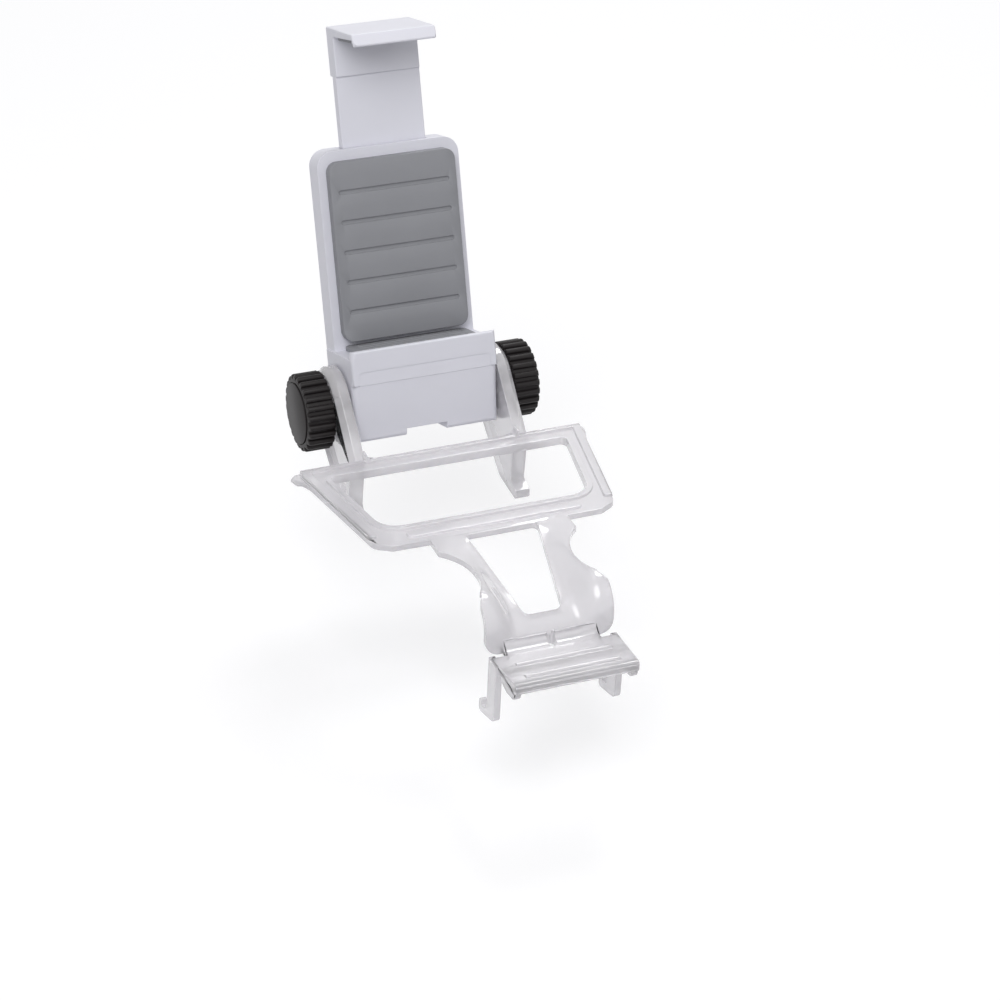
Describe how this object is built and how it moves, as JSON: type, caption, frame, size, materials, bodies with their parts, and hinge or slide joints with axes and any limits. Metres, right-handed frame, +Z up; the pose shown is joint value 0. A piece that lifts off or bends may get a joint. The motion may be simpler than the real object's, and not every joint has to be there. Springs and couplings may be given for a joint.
{
  "type": "controller phone clip",
  "caption": "Clear bracket that snaps over a game pad and carries a spring-loaded tilting phone clamp locked by black knurled knobs.",
  "frame": {"origin": "on the bracket's seat, under the middle of the top rail", "axes": "+X to the player's right along the tilt axis, +Y to the rear, +Z up, square to the pad's face"},
  "size_m": [0.0754, 0.1407, 0.1195],
  "materials": {
    "clear": "clear gloss",
    "white": "fine satin",
    "black": "satin",
    "grey_pad": "matt",
    "disc": "matt",
    "steel": "zinc plated",
    "dark_steel": "black oxide"
  },
  "bodies": {
    "base": {"base_frame": "clear"},
    "clamp": {"clamp_body": "white", "clamp_cover": "white", "cover_screws": "dark_steel", "lower_jaw_pad": "grey_pad", "back_pad": "grey_pad", "nut_left": "steel", "nut_right": "steel", "friction_disc_left": "disc", "friction_disc_right": "disc", "spring_pins": "steel", "spring_left": "steel", "spring_right": "steel"},
    "jaw": {"upper_jaw": "white", "upper_jaw_pad": "grey_pad", "jaw_pins": "steel"},
    "seat_left": {"washer_left": "steel"},
    "seat_right": {"washer_right": "steel"},
    "knob_left": {"knob_cap_left": "black", "knob_screw_left": "steel"},
    "knob_right": {"knob_cap_right": "black", "knob_screw_right": "steel"}
  },
  "joints": [
    {"name": "clamp_tilt", "type": "hinge", "parent": "base", "child": "clamp", "pos_m": [0, 0.0218, 0.006], "axis": [1, 0, 0], "range_deg": [-75, 60]},
    {"name": "jaw_slide", "type": "slide", "parent": "clamp", "child": "jaw", "axis": [0, 0.3173, 0.9483], "range_m": [-0.0165, 0.0115], "deforming": ["spring_left", "spring_right"]},
    {"name": "seat_left_slide", "type": "slide", "parent": "clamp", "child": "seat_left", "axis": [-1, 0, 0], "range_m": [0, 0.0007]},
    {"name": "seat_right_slide", "type": "slide", "parent": "clamp", "child": "seat_right", "axis": [1, 0, 0], "range_m": [0, 0.0007]},
    {"name": "knob_left_turn", "type": "hinge", "parent": "seat_left", "child": "knob_left", "pos_m": [0, 0.0218, 0.006], "axis": [-1, 0, 0], "range_deg": [0, 360]},
    {"name": "knob_right_turn", "type": "hinge", "parent": "seat_right", "child": "knob_right", "pos_m": [0, 0.0218, 0.006], "axis": [1, 0, 0], "range_deg": [0, 360]}
  ],
  "couplings": [
    {"joint": "seat_left_slide", "follows": "knob_left_turn", "m_per_rad": 0.00011141},
    {"joint": "seat_right_slide", "follows": "knob_right_turn", "m_per_rad": 0.00011141}
  ]
}
